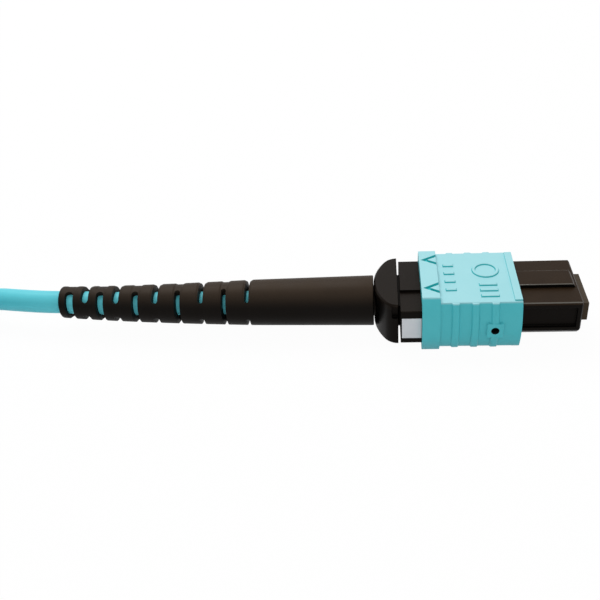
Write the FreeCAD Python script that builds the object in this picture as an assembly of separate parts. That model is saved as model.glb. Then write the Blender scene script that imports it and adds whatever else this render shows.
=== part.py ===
"""Female 12-fibre push-pull connector on a round 3 mm cable, as loose parts in one frame (mm).

While it is modelled, X points forwards to the mating face, Z up, y = z = 0 is the fibre axis, and
x = 0 is the rear edge of the outer sleeve. At the end everything moves so that the connector lies
on z = 0 with the origin under its middle. The far end of the cable is wound into a tied hank, with
a second connector lying on it.
"""
import FreeCAD, Part
import math
import os

Vec = FreeCAD.Vector

# ---- clearances ----
SLIDE_GAP = 0.08       # outer sleeve on the housing
FERRULE_GAP = 0.04     # ferrule in the housing's mouth
FIT_GAP = 0.02         # pieces that are pressed or crimped together
SPRING_GAP = 0.05      # springs beside their walls
FLANGE_GAP = 0.27      # housing to the spring push's flange
BOOT_GAP = 0.12        # spring push's flange to the boot

# ---- outer sleeve ----
SLEEVE_LENGTH = 11.75
SLEEVE_ROOF = 0.2      # plastic over the key
SLEEVE_WALL = 0.47     # plastic beside the housing's rear part, where the sides bulge most
SLEEVE_BULGE = 0.75    # that each side stands out beyond the flat top
SLEEVE_TRAVEL = 2.0
BAND_LENGTH = 2.15     # raised band round the rear end
BAND_RISE = 0.65       # above the sleeve's top
BAND_SPREAD = 0.25     # beyond the sleeve's sides
BAND_BULGE = 1.225
RIB_COUNT = 3
RIB_WIDTH = 0.95
RIB_FIRST = 3.96       # centre of the first rib
RIB_PITCH = 2.32
RIB_HEIGHT = 0.27
RIB_SLOPE = 0.14
RIB_DROP = 0.03        # rib ends below the flat top
LIP_LENGTH = 0.9       # raised strip along the front edge
LIP_HEIGHT = 0.2
LIP_INSET = 0.2        # from the flat top's edges
PAD_LENGTH = 1.95      # flat pad round the side hole
PAD_HEIGHT = 1.97
PAD_Z = -0.25
PAD_PROUD = 0.04
PAD_ROOT = 0.25        # depth of its root in the sleeve's side
SIDE_HOLE_DIAMETER = 0.95
CHEVRON_SPACING = 6.34
CHEVRON_TIP = 0.22     # from the sleeve's rear edge
CHEVRON_SPREAD = 2.36
CHEVRON_STROKE = 0.42
CHEVRON_DEPTH = 0.3
MOUTH_CHAMFER = 0.25

# ---- inner housing ----
HOUSING_REAR = -2.56
HOUSING_FRONT = 18.98
PLUG_WIDTH = 9.5
PLUG_HEIGHT = 4.9
PLUG_TOP_CHAMFER = 0.12
PLUG_BOTTOM_CHAMFER = 0.8
PLUG_NOSE_CHAMFER = 0.18
SHOULDER_X = 0.1       # where the wide rear part ends
REAR_WIDTH = 11.4
REAR_TOP = 2.17
REAR_BOTTOM = -2.72
REAR_TOP_CHAMFER = 0.12
REAR_BOTTOM_CHAMFER = 0.32
KEY_WIDTH = 3.12
KEY_TOP = 2.97
KEY_REAR_TOP = 2.52
KEY_STEP_X = 11.0
KEY_FRONT = 18.28
KEY_RAMP = 0.5
CHANNEL_HEIGHT = 2.8   # latch channel along each narrow side
CHANNEL_Z = 0.2
CHANNEL_DEPTH = 0.45
CHANNEL_FRONT = 18.4
CAVITY_WIDTH = 7.2
CAVITY_HEIGHT = 3.2
LUG_X = 4.0            # stop lugs under the housing
LUG_LENGTH = 1.2
LUG_WIDTH = 1.6
LUG_Y = 3.0
LUG_HEIGHT = 0.3
WINDOW_X = 1.3         # snap windows for the spring push
WINDOW_LENGTH = 1.6
WINDOW_HEIGHT = 1.8
MARK_LENGTH = 2.42
MARK_BOTTOM = -1.8
MARK_TOP = 1.15
MARK_DEPTH = 0.25
MARK_INSET = 0.12

# ---- ferrule, its rubber boot, clamp and spring ----
FERRULE_LENGTH = 8.0
FERRULE_WIDTH = 6.4
FERRULE_HEIGHT = 2.5
FERRULE_PROUD = 1.04   # beyond the housing's front
FERRULE_TRAVEL = 0.8
FERRULE_FLANGE_LENGTH = 2.0
FERRULE_FLANGE_WIDTH = 7.0
FERRULE_FLANGE_HEIGHT = 3.0
GUIDE_DIAMETER = 0.7
GUIDE_PITCH = 4.6
FIBRE_COUNT = 12
FIBRE_PITCH = 0.25
FIBRE_DIAMETER = 0.125
FIBRE_GAP = 0.003
GLUE_WINDOW_LENGTH = 2.0
GLUE_WINDOW_WIDTH = 3.4
GLUE_WINDOW_BACK = 3.3  # from the ferrule's rear
POCKET_WIDTH = 3.54
POCKET_HEIGHT = 1.44
POCKET_DEPTH = 2.8
RUBBER_OUT = 1.5       # rubber boot behind the ferrule
RIBBON_WIDTH = 3.1
RIBBON_HEIGHT = 0.32
CLAMP_LENGTH = 2.6
CLAMP_WIDTH = 6.8
CLAMP_HEIGHT = 2.9
SPRING_WIDTH = 6.9
SPRING_HEIGHT = 3.0
SPRING_WIRE = 0.5
SPRING_TURNS = 5

# ---- coupling springs ----
COUPLING_DIAMETER = 1.3
COUPLING_WIRE = 0.22
COUPLING_TURNS = 6
COIL_STEPS = 4         # straight pieces per half turn
COUPLING_LENGTH = 7.0

# ---- spring push with its flange and crimp post ----
PUSH_FRONT = 3.2
PUSH_WIDTH = 7.0
PUSH_HEIGHT = 3.0
FLANGE_WIDTH = 10.9
FLANGE_DEPTH = 2.93
FLANGE_HEIGHT = 5.8
FLANGE_CORNER = 1.9    # radius at the two front corners of its arch
FLANGE_CHAMFER = 0.22
NOTCH_LENGTH = 0.8
NOTCH_HEIGHT = 1.75
NOTCH_DEPTH = 0.6
HOOK_LENGTH = 1.3
HOOK_HEIGHT = 1.6
HOOK_PROUD = 0.5
ARM_THICKNESS = 0.6
ARM_LENGTH = 4.5
ARM_SLIT = 0.25
BORE_WIDTH = 3.4
BORE_HEIGHT = 1.4
POST_DIAMETER = 3.9
POST_BORE = 3.2
POST_LENGTH = 7.0      # behind the flange

# ---- crimp ring, yarn, cable ----
YARN_THICKNESS = 0.12
RING_WALL = 0.3
RING_LENGTH = 6.4      # its wide part, over the post
RING_START = 0.7       # from the flange's rear to the ring
RING_NECK = 4.0        # its narrow part, on the cable
CABLE_DIAMETER = 3.0
JACKET_BORE = 2.0
JACKET_START = 0.6     # from the post's end to the jacket
BUNDLE_WIDTH = 1.5
BUNDLE_HEIGHT = 1.2
BUNDLE_IN_JACKET = 2.5

# ---- strain relief boot ----
BOOT_LENGTH = 40.6
BOOT_HEAD_DIAMETER = 6.34
BOOT_BARREL_LENGTH = 15.1  # up to where the slotted taper starts
BOOT_BARREL_DIAMETER = 5.88
BOOT_TIP_DIAMETER = 4.16
BOOT_HEAD_ROUND = 0.35
BOOT_ROLL = -10.0      # degrees that the bridges are turned about the axis, from the top to -Y
BOOT_BRIDGE = 47.0     # degrees that one bridge spans
SLOT_FIRST = 15.86     # head end to the first slot's centre
SLOT_PITCHES = (2.97, 2.99, 3.04, 2.96, 2.65, 2.5, 2.11, 2.04, 2.11)
SLOT_HEAD_WIDTH = 0.86
SLOT_TIP_WIDTH = 1.2

# ---- cable in the open, its hank and the tie round it ----
HANK_RIGHT = -71.5     # where its straight runs end, just outside what a close view shows
HANK_CENTRE_Y = -9.8
HANK_RUN = 60.0        # straight part of a turn
HANK_INNER_FOLD = 9.0  # fold radius of the inner turns, to the cable's centre
HANK_COLUMNS = 2
HANK_LAYERS = 3
HANK_TURNS = 5
TIE_THICKNESS = 0.4
TIE_WIDTH = 8.0
FAR_REST_GAP = 0.05    # far connector above the hank
TAIL_STRAIGHT = 5.8    # cable before and after its climb to the far connector
TAIL_CLIMB = 8.9       # length of the climb along X

# ---- sizes that follow from those above ----
SLEEVE_HEIGHT = 2 * (KEY_TOP + SLIDE_GAP + SLEEVE_ROOF)
SLEEVE_WIDTH = REAR_WIDTH + 2 * (SLIDE_GAP + SLEEVE_WALL)
SLEEVE_FLAT = SLEEVE_WIDTH - 2 * SLEEVE_BULGE
BAND_HEIGHT = SLEEVE_HEIGHT + 2 * BAND_RISE
BAND_WIDTH = SLEEVE_WIDTH + 2 * BAND_SPREAD
BAND_FLAT = BAND_WIDTH - 2 * BAND_BULGE
LIP_WIDTH = SLEEVE_FLAT - 2 * LIP_INSET
BAND_HALF = BAND_HEIGHT / 2
SLEEVE_HALF = SLEEVE_HEIGHT / 2
PLUG_HALF_WIDTH = PLUG_WIDTH / 2
PLUG_HALF_HEIGHT = PLUG_HEIGHT / 2
CHANNEL_Y = PLUG_HALF_WIDTH - CHANNEL_DEPTH
FERRULE_FRONT = HOUSING_FRONT + FERRULE_PROUD
FERRULE_REAR = FERRULE_FRONT - FERRULE_LENGTH
STOP_X = FERRULE_REAR + FERRULE_FLANGE_LENGTH
CLAMP_REAR = FERRULE_REAR - CLAMP_LENGTH
COUPLING_Y = CHANNEL_Y + SPRING_GAP + COUPLING_DIAMETER / 2
COUPLING_FRONT = SHOULDER_X + COUPLING_LENGTH
FLANGE_FRONT = HOUSING_REAR - FLANGE_GAP
FLANGE_REAR = FLANGE_FRONT - FLANGE_DEPTH
FLANGE_RADIUS = ((FLANGE_DEPTH ** 2 + (FLANGE_WIDTH / 2 - FLANGE_CORNER) ** 2 - FLANGE_CORNER ** 2)
                 / (2 * (FLANGE_DEPTH - FLANGE_CORNER)))
POST_END = FLANGE_REAR - POST_LENGTH
RING_FRONT = FLANGE_REAR - RING_START
RING_REAR = RING_FRONT - RING_LENGTH
NECK_REAR = RING_REAR - RING_NECK
YARN_DIAMETER = POST_DIAMETER + 2 * (FIT_GAP + YARN_THICKNESS)
RING_BORE = YARN_DIAMETER + 2 * FIT_GAP
RING_DIAMETER = RING_BORE + 2 * RING_WALL
NECK_BORE = CABLE_DIAMETER + 2 * FIT_GAP
NECK_DIAMETER = NECK_BORE + 2 * RING_WALL
JACKET_FRONT = POST_END - JACKET_START
BOOT_HEAD = FLANGE_REAR - BOOT_GAP
BOOT_TIP = BOOT_HEAD - BOOT_LENGTH
SURFACE_Z = -BAND_HALF
HANK_OUTER_FOLD = HANK_INNER_FOLD + (HANK_COLUMNS - 1) * CABLE_DIAMETER
HANK_BOTTOM = SURFACE_Z + TIE_THICKNESS
HANK_TOP = HANK_BOTTOM + HANK_LAYERS * CABLE_DIAMETER
TOP_LAYER_Z = HANK_TOP - CABLE_DIAMETER / 2
FAR_AXIS_Z = HANK_TOP + FAR_REST_GAP + BAND_HALF
LEAD_END_Y = HANK_CENTRE_Y + HANK_OUTER_FOLD
TAIL_Y = HANK_CENTRE_Y + HANK_INNER_FOLD
HANK_CENTRE_X = HANK_RIGHT - HANK_RUN / 2
CLIMB_START = HANK_RIGHT - TAIL_STRAIGHT
CLIMB_END = CLIMB_START - TAIL_CLIMB

# ---- the cable's open stretches, as corners that its arcs round off ----
LEAD_ROUTE = (
    (BOOT_TIP, 0.0, 0.0),
    (-59.5, 0.9, -0.5),
    (HANK_RIGHT, LEAD_END_Y, HANK_BOTTOM + CABLE_DIAMETER / 2),
)
TAIL_ROUTE = (
    (HANK_RIGHT, TAIL_Y, TOP_LAYER_Z),
    (CLIMB_START, TAIL_Y, TOP_LAYER_Z),
    (CLIMB_END, TAIL_Y, FAR_AXIS_Z),
    (CLIMB_END - TAIL_STRAIGHT, TAIL_Y, FAR_AXIS_Z),
)


# ---- shapes that several pieces share ----
def box(x0, x1, y0, y1, z0, z1):
    """Block between the given limits."""
    return Part.makeBox(x1 - x0, y1 - y0, z1 - z0, Vec(x0, y0, z0))


def cylinder_x(x0, x1, diameter, y=0.0, z=0.0):
    """Round bar along X."""
    return Part.makeCylinder(diameter / 2, x1 - x0, Vec(x0, y, z), Vec(1, 0, 0))


def polygon(points):
    """Closed wire through points."""
    corners = [Vec(*p) for p in points]
    return Part.makePolygon(corners + corners[:1])


def prism(wire, direction):
    """Solid swept from a flat closed wire."""
    return Part.Face(wire).extrude(Vec(*direction))


def turned(profile):
    """Solid of revolution about X, from (x, radius) points."""
    wire = polygon([(x, 0.0, r) for x, r in profile])
    return Part.Face(wire).revolve(Vec(0, 0, 0), Vec(1, 0, 0), 360)


def chamfered_section(x, half_width, low, high, low_cut, high_cut):
    """Eight-sided section across X with cut corners."""
    return polygon([
        (x, -half_width, low + low_cut), (x, -half_width + low_cut, low),
        (x, half_width - low_cut, low), (x, half_width, low + low_cut),
        (x, half_width, high - high_cut), (x, half_width - high_cut, high),
        (x, -half_width + high_cut, high), (x, -half_width, high - high_cut),
    ])


def bulged_section(x, flat, width, height):
    """Flat top and bottom of width flat, joined by sides that bulge out to width."""
    f, w, h = flat / 2, width / 2, height / 2
    edges = [
        Part.LineSegment(Vec(x, -f, h), Vec(x, f, h)).toShape(),
        Part.Arc(Vec(x, f, h), Vec(x, w, 0), Vec(x, f, -h)).toShape(),
        Part.LineSegment(Vec(x, f, -h), Vec(x, -f, -h)).toShape(),
        Part.Arc(Vec(x, -f, -h), Vec(x, -w, 0), Vec(x, -f, h)).toShape(),
    ]
    return Part.Wire(edges)


def oblong_section(x, width, height):
    """Section across X with round ends, width along Y."""
    r = height / 2
    f = width / 2 - r
    edges = [
        Part.LineSegment(Vec(x, -f, r), Vec(x, f, r)).toShape(),
        Part.Arc(Vec(x, f, r), Vec(x, f + r, 0), Vec(x, f, -r)).toShape(),
        Part.LineSegment(Vec(x, f, -r), Vec(x, -f, -r)).toShape(),
        Part.Arc(Vec(x, -f, -r), Vec(x, -f - r, 0), Vec(x, -f, r)).toShape(),
    ]
    return Part.Wire(edges)


def ruled(wires):
    """Solid through a row of like sections."""
    return Part.makeLoft(wires, True, True)


def faceted(sections):
    """Solid of flat triangles through a row of sections, each a list of as many corners."""
    faces = [Part.Face(Part.makePolygon(ends + ends[:1])) for ends in (sections[0], sections[-1])]
    for near, far in zip(sections, sections[1:]):
        for k, corner in enumerate(near):
            following = (k + 1) % len(near)
            for third, fourth in ((near[following], far[following]), (far[following], far[k])):
                faces.append(Part.Face(Part.makePolygon([corner, third, fourth, corner])))
    shell = Part.makeShell(faces)
    shell.sewShape()
    return Part.makeSolid(shell)


def fused(first, *others):
    """One clean solid from pieces that meet."""
    return first.multiFuse(list(others)).removeSplitter()


def sided_rod(x0, x1, diameter, sides, y=0.0, outside=False):
    """Rod along X with flat sides, for what is too fine or too hidden to need to be round.

    Its corners lie on the diameter, or its flats where it is outside.
    """
    reach = diameter / 2 / (math.cos(math.pi / sides) if outside else 1)
    corners = [(2 * k + 1) * math.pi / sides for k in range(sides)]
    return prism(polygon([(x0, y + reach * math.cos(a), reach * math.sin(a)) for a in corners]),
                 (x1 - x0, 0, 0))


def both_sides(shape):
    """The shape and its mirror image across y = 0."""
    return [shape, shape.mirror(Vec(0, 0, 0), Vec(0, 1, 0))]


# ---- outer sleeve ----
def sleeve_body():
    """Bulged tube blank: raised rear band, long body, ribs, front lips and side pad."""
    band = prism(bulged_section(0, BAND_FLAT, BAND_WIDTH, BAND_HEIGHT), (BAND_LENGTH, 0, 0))
    body = prism(bulged_section(0, SLEEVE_FLAT, SLEEVE_WIDTH, SLEEVE_HEIGHT), (SLEEVE_LENGTH, 0, 0))
    lip = box(SLEEVE_LENGTH - LIP_LENGTH, SLEEVE_LENGTH, -LIP_WIDTH / 2, LIP_WIDTH / 2,
              -SLEEVE_HALF - LIP_HEIGHT, SLEEVE_HALF + LIP_HEIGHT)
    return fused(body, band, lip, *ribs(), side_pad())


def ribs():
    """Grip ribs round both narrow sides, with sloping flanks."""
    made = []
    for k in range(RIB_COUNT):
        centre = RIB_FIRST + k * RIB_PITCH
        made.append(ruled([
            bulged_section(centre + side * (RIB_WIDTH / 2 - inset), SLEEVE_FLAT + grow,
                           SLEEVE_WIDTH + grow, SLEEVE_HEIGHT - 2 * RIB_DROP)
            for side, inset, grow in (
                (-1, 0.0, 0.1), (-1, RIB_SLOPE, 2 * RIB_HEIGHT),
                (1, RIB_SLOPE, 2 * RIB_HEIGHT), (1, 0.0, 0.1))
        ]))
    return made


def last_rib_x():
    """Centre of the rib that carries the side hole."""
    return RIB_FIRST + (RIB_COUNT - 1) * RIB_PITCH


def side_pad():
    """Flat pad on one side, on the last rib."""
    x, outer = last_rib_x(), SLEEVE_WIDTH / 2 + RIB_HEIGHT + PAD_PROUD
    return box(x - PAD_LENGTH / 2, x + PAD_LENGTH / 2, -outer, PAD_ROOT - SLEEVE_WIDTH / 2,
               PAD_Z - PAD_HEIGHT / 2, PAD_Z + PAD_HEIGHT / 2)


def chevrons():
    """Two arrow grooves in the band's top that point to the cable."""
    made = []
    half, end = CHEVRON_SPREAD / 2, BAND_LENGTH + 0.01
    reach = end - CHEVRON_TIP
    along = CHEVRON_STROKE * math.hypot(reach, half) / half
    across = CHEVRON_STROKE * math.hypot(reach, half) / reach
    for side in (-1, 1):
        y, z = side * CHEVRON_SPACING / 2, BAND_HALF - CHEVRON_DEPTH
        made.append(prism(polygon([
            (CHEVRON_TIP, y, z), (end, y + half, z), (end, y + half - across, z),
            (CHEVRON_TIP + along, y, z), (end, y - half + across, z), (end, y - half, z),
        ]), (0, 0, 2 * CHEVRON_DEPTH)))
    return made


def sleeve_hollow():
    """Everything that the sleeve leaves open: plug, rear part, key, springs, stop lugs, side hole."""
    gap, far = SLIDE_GAP, SLEEVE_LENGTH + 1
    wide_end = SHOULDER_X + SLEEVE_TRAVEL + SPRING_GAP
    plug_y, plug_z = PLUG_HALF_WIDTH + gap, PLUG_HALF_HEIGHT + gap
    key_y = KEY_WIDTH / 2 + gap
    wide = prism(chamfered_section(-1, REAR_WIDTH / 2 + gap, REAR_BOTTOM - gap, REAR_TOP + gap,
                                   REAR_BOTTOM_CHAMFER, REAR_TOP_CHAMFER), (wide_end + 1, 0, 0))
    narrow = box(-1, far, -plug_y, plug_y, -plug_z, plug_z)
    low_key = box(-1, far, -key_y, key_y, 0, KEY_REAR_TOP + gap)
    high_key = box(KEY_STEP_X - gap, far, -key_y, key_y, 0, KEY_TOP + gap)
    spring_y = COUPLING_Y + COUPLING_DIAMETER / 2 + 2 * SPRING_GAP
    spring_z = COUPLING_DIAMETER / 2 + 2 * SPRING_GAP
    channels = box(-1, COUPLING_FRONT, -spring_y, spring_y, -spring_z, spring_z)
    mouth = ruled([
        chamfered_section(SLEEVE_LENGTH - MOUTH_CHAMFER, plug_y, -plug_z, plug_z, gap, gap),
        chamfered_section(SLEEVE_LENGTH + 0.01, plug_y + MOUTH_CHAMFER, -plug_z - MOUTH_CHAMFER,
                          plug_z + MOUTH_CHAMFER, gap, gap),
    ])
    pocket = box(LUG_X - FIT_GAP, LUG_X + LUG_LENGTH + SLEEVE_TRAVEL + gap,
                 LUG_Y - LUG_WIDTH / 2 - gap, LUG_Y + LUG_WIDTH / 2 + gap,
                 -PLUG_HALF_HEIGHT - LUG_HEIGHT - gap, 0)
    hole = Part.makeCylinder(SIDE_HOLE_DIAMETER / 2, SLEEVE_WIDTH / 2, Vec(last_rib_x(), 0, PAD_Z),
                             Vec(0, -1, 0))
    hole_reach = hole.common(box(0, far, -SLEEVE_WIDTH, 0, -SLEEVE_HEIGHT, SLEEVE_HEIGHT))
    through = Part.makeCylinder(SIDE_HOLE_DIAMETER / 2, SLEEVE_WIDTH, Vec(last_rib_x(), 0, PAD_Z),
                                Vec(0, -1, 0))
    return wide.multiFuse([narrow, low_key, high_key, channels, mouth, hole_reach, through,
                           *both_sides(pocket)])


def outer_sleeve():
    """Sliding sleeve that a hand pulls back to free the connector."""
    return sleeve_body().cut([sleeve_hollow(), *chevrons()]).removeSplitter()


# ---- inner housing ----
def housing_body():
    """Plug with bevelled nose, wide rear part, key rail and stop lugs."""
    nose = PLUG_NOSE_CHAMFER
    plug = ruled([
        chamfered_section(x, PLUG_HALF_WIDTH - inset, -PLUG_HALF_HEIGHT + inset,
                          PLUG_HALF_HEIGHT - inset, PLUG_BOTTOM_CHAMFER, PLUG_TOP_CHAMFER)
        for x, inset in ((0, 0.0), (HOUSING_FRONT - nose, 0.0), (HOUSING_FRONT, nose))
    ])
    rear = prism(chamfered_section(HOUSING_REAR, REAR_WIDTH / 2, REAR_BOTTOM, REAR_TOP,
                                   REAR_BOTTOM_CHAMFER, REAR_TOP_CHAMFER),
                 (SHOULDER_X - HOUSING_REAR, 0, 0))
    key = prism(polygon([
        (HOUSING_REAR, -KEY_WIDTH / 2, REAR_TOP - 0.3), (KEY_FRONT + KEY_RAMP, -KEY_WIDTH / 2, REAR_TOP - 0.3),
        (KEY_FRONT + KEY_RAMP, -KEY_WIDTH / 2, PLUG_HALF_HEIGHT - nose),
        (KEY_FRONT, -KEY_WIDTH / 2, KEY_TOP), (KEY_STEP_X, -KEY_WIDTH / 2, KEY_TOP),
        (KEY_STEP_X, -KEY_WIDTH / 2, KEY_REAR_TOP), (HOUSING_REAR, -KEY_WIDTH / 2, KEY_REAR_TOP),
    ]), (0, KEY_WIDTH, 0))
    lug = box(LUG_X, LUG_X + LUG_LENGTH, LUG_Y - LUG_WIDTH / 2, LUG_Y + LUG_WIDTH / 2,
              -PLUG_HALF_HEIGHT - LUG_HEIGHT, -PLUG_HALF_HEIGHT + 0.2)
    return fused(plug, rear, key, *both_sides(lug))


def mark_pocket(gap):
    """Shallow recess on one side for the position mark; gap shrinks the mark that fills it."""
    x, y = HOUSING_REAR + MARK_INSET, -REAR_WIDTH / 2
    return box(x + gap, x + MARK_LENGTH - gap, y, y + MARK_DEPTH, MARK_BOTTOM + gap, MARK_TOP - gap)


def inner_housing():
    """Moulded housing that carries the ferrule and plugs into an adapter."""
    half_channel = CHANNEL_HEIGHT / 2
    channel = box(SHOULDER_X, CHANNEL_FRONT, CHANNEL_Y, REAR_WIDTH,
                  CHANNEL_Z - half_channel, CHANNEL_Z + half_channel)
    mouth = box(0, HOUSING_FRONT + 1, -FERRULE_WIDTH / 2 - FERRULE_GAP, FERRULE_WIDTH / 2 + FERRULE_GAP,
                -FERRULE_HEIGHT / 2 - FERRULE_GAP, FERRULE_HEIGHT / 2 + FERRULE_GAP)
    cavity = box(HOUSING_REAR - 1, STOP_X, -CAVITY_WIDTH / 2, CAVITY_WIDTH / 2,
                 -CAVITY_HEIGHT / 2, CAVITY_HEIGHT / 2)
    window = box(WINDOW_X, WINDOW_X + WINDOW_LENGTH, 0, REAR_WIDTH,
                 -WINDOW_HEIGHT / 2, WINDOW_HEIGHT / 2)
    return housing_body().cut([mouth, cavity, mark_pocket(0.0), *both_sides(channel),
                               *both_sides(window)]).removeSplitter()


def position_mark():
    """White tab that shows the side of fibre one."""
    return mark_pocket(FIT_GAP)


# ---- ferrule group ----
def fibre_positions():
    """The fibres' places across the ferrule."""
    return [(k - (FIBRE_COUNT - 1) / 2) * FIBRE_PITCH for k in range(FIBRE_COUNT)]


def ferrule_blank():
    """Rectangular ferrule with its rear flange and its two guide holes."""
    body = box(FERRULE_REAR, FERRULE_FRONT, -FERRULE_WIDTH / 2, FERRULE_WIDTH / 2,
               -FERRULE_HEIGHT / 2, FERRULE_HEIGHT / 2)
    flange = box(FERRULE_REAR, STOP_X, -FERRULE_FLANGE_WIDTH / 2, FERRULE_FLANGE_WIDTH / 2,
                 -FERRULE_FLANGE_HEIGHT / 2, FERRULE_FLANGE_HEIGHT / 2)
    guides = [cylinder_x(FERRULE_REAR - 1, FERRULE_FRONT + 1, GUIDE_DIAMETER, y)
              for y in (-GUIDE_PITCH / 2, GUIDE_PITCH / 2)]
    return fused(body, flange).cut(guides)


def mt_ferrule():
    """The ferrule, with its fibre holes, the glue window above them and the pocket behind."""
    window_x = FERRULE_REAR + GLUE_WINDOW_BACK
    pocket = prism(oblong_section(FERRULE_REAR, POCKET_WIDTH, POCKET_HEIGHT), (POCKET_DEPTH, 0, 0))
    throat = box(FERRULE_REAR, window_x + 0.1, -RIBBON_WIDTH / 2 - FIT_GAP, RIBBON_WIDTH / 2 + FIT_GAP,
                 -RIBBON_HEIGHT / 2 - FIT_GAP, RIBBON_HEIGHT / 2 + FIT_GAP)
    window = box(window_x, window_x + GLUE_WINDOW_LENGTH, -GLUE_WINDOW_WIDTH / 2,
                 GLUE_WINDOW_WIDTH / 2, -FIBRE_DIAMETER / 2 - FIBRE_GAP, FERRULE_HEIGHT)
    fibres = [sided_rod(window_x + GLUE_WINDOW_LENGTH, FERRULE_FRONT + 1,
                        FIBRE_DIAMETER + 2 * FIBRE_GAP, 8, y) for y in fibre_positions()]
    return ferrule_blank().cut([pocket, throat, window, *fibres])


def ferrule_rubber():
    """Rubber sleeve that guides the ribbon into the ferrule."""
    width, height = POCKET_WIDTH - 2 * FIT_GAP, POCKET_HEIGHT - 2 * FIT_GAP
    front = FERRULE_REAR + POCKET_DEPTH - FIT_GAP
    body = prism(oblong_section(FERRULE_REAR - RUBBER_OUT, width, height),
                 (front - FERRULE_REAR + RUBBER_OUT, 0, 0))
    slit = box(FERRULE_REAR - 2 * RUBBER_OUT, front + 1, -RIBBON_WIDTH / 2 - FIT_GAP,
               RIBBON_WIDTH / 2 + FIT_GAP, -RIBBON_HEIGHT / 2 - FIT_GAP, RIBBON_HEIGHT / 2 + FIT_GAP)
    return body.cut(slit)


def pin_clamp():
    """Spacer behind the ferrule that the main spring pushes on."""
    body = box(CLAMP_REAR, FERRULE_REAR, -CLAMP_WIDTH / 2, CLAMP_WIDTH / 2,
               -CLAMP_HEIGHT / 2, CLAMP_HEIGHT / 2)
    hole = prism(oblong_section(CLAMP_REAR - 1, POCKET_WIDTH + 2 * FIT_GAP, POCKET_HEIGHT + 2 * FIT_GAP),
                 (CLAMP_LENGTH + 2, 0, 0))
    return body.cut(hole)


def fibre_ribbon():
    """Ribbon of fibres: a bundle in the cable, flat up to the ferrule, then bare fibres to its face."""
    def section(x, width, height):
        """Flat section with bevelled edges."""
        bevel = height / 4
        return chamfered_section(x, width / 2, -height / 2, height / 2, bevel, bevel)

    flat_front = FERRULE_REAR + GLUE_WINDOW_BACK
    ribbon = ruled([
        section(JACKET_FRONT - BUNDLE_IN_JACKET, BUNDLE_WIDTH, BUNDLE_HEIGHT),
        section(POST_END, BUNDLE_WIDTH, BUNDLE_HEIGHT),
        section(SHOULDER_X, RIBBON_WIDTH, RIBBON_HEIGHT),
        section(flat_front, RIBBON_WIDTH, RIBBON_HEIGHT),
    ])
    fibres = [sided_rod(flat_front - 0.2, FERRULE_FRONT, FIBRE_DIAMETER, 8, y) for y in fibre_positions()]
    return ribbon.multiFuse(fibres)


def coil_spring(x0, x1, width, height, wire, turns, y=0.0):
    """Square-wire coil round X from x0 to x1, as a ruled skin over sections set along its turns.

    Each half turn is a half circle, and straight runs join them where width is over height.
    """
    radius, offset = (height - wire) / 2, (width - height) / 2
    steps = COIL_STEPS
    stations = [(half, step) for half in range(2 * turns) for step in range(steps + 1)]
    if offset == 0:
        stations = [(half, step) for half, step in stations if step < steps or half == 2 * turns - 1]
    first, last = len(stations) / (2 * turns), len(stations) - 1 - len(stations) / (2 * turns)
    sections = []
    for index, (half, step) in enumerate(stations):
        angle = math.pi * (half + step / steps) - math.pi / 2
        out = Vec(0, math.cos(angle), math.sin(angle)) * (wire / 2)
        side = offset if half % 2 == 0 else -offset
        share = min(max((index - first) / (last - first), 0.0), 1.0)
        x = x0 + wire / 2 + share * (x1 - x0 - wire)
        centre = Vec(x, y + side + radius * math.cos(angle), radius * math.sin(angle))
        ahead = Vec(wire / 2, 0, 0)
        sections.append([centre + out + ahead, centre - out + ahead, centre - out - ahead,
                         centre + out - ahead])
    return faceted(sections)


def ferrule_spring():
    """Oval main spring between the spring push and the clamp."""
    return coil_spring(PUSH_FRONT, CLAMP_REAR, SPRING_WIDTH, SPRING_HEIGHT, SPRING_WIRE, SPRING_TURNS)


def coupling_spring(side):
    """Small spring in a side channel that returns the outer sleeve."""
    return coil_spring(SHOULDER_X, COUPLING_FRONT, COUPLING_DIAMETER, COUPLING_DIAMETER, COUPLING_WIRE,
                       COUPLING_TURNS, side * COUPLING_Y)


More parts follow.
